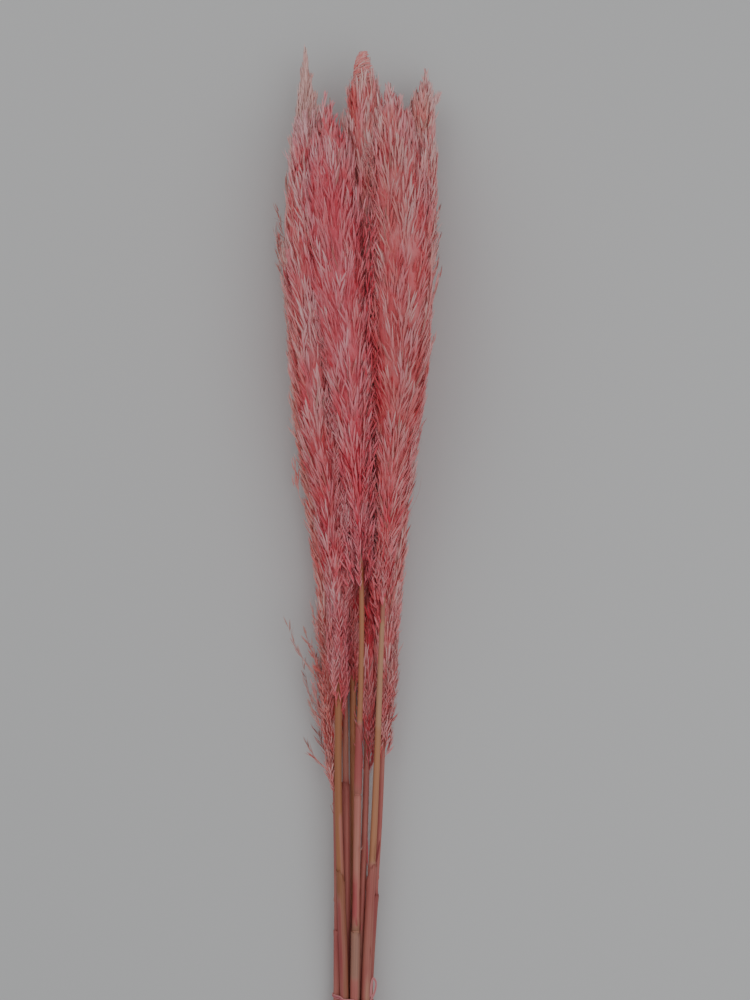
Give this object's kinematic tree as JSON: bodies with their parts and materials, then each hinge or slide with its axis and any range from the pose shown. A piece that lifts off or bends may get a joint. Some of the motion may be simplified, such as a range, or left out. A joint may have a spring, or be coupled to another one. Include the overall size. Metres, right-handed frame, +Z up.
{
  "type": "bundle of pampas grass",
  "caption": "Bunch of dried pink pampas grass lying down: long feathery plumes on slim straw-coloured stems, tied with raffia near the cut ends.",
  "frame": {"origin": "on the surface that the bundle lies on, under the middle of its length and width", "axes": "+Y along the bundle from the cut ends to the plume tips, +X across it to the right seen from above, +Z up"},
  "size_m": [0.1233, 0.8, 0.0767],
  "materials": {
    "pink_plume": "soft, matt",
    "straw_stem": "satin reed",
    "pink_raffia": "dry fibre"
  },
  "bodies": {
    "root": {"stem_front_left": "straw_stem", "stem_left": "straw_stem", "stem_front_right": "straw_stem", "stem_outer_left": "straw_stem", "stem_centre": "straw_stem", "stem_outer_right": "straw_stem", "stem_under_left": "straw_stem", "stem_under_right": "straw_stem", "plume_front_left": "pink_plume", "plume_left": "pink_plume", "plume_front_right": "pink_plume", "plume_outer_left": "pink_plume", "plume_centre": "pink_plume", "plume_outer_right": "pink_plume", "plume_under_left": "pink_plume", "plume_under_right": "pink_plume", "tie": "pink_raffia"}
  },
  "joints": []
}
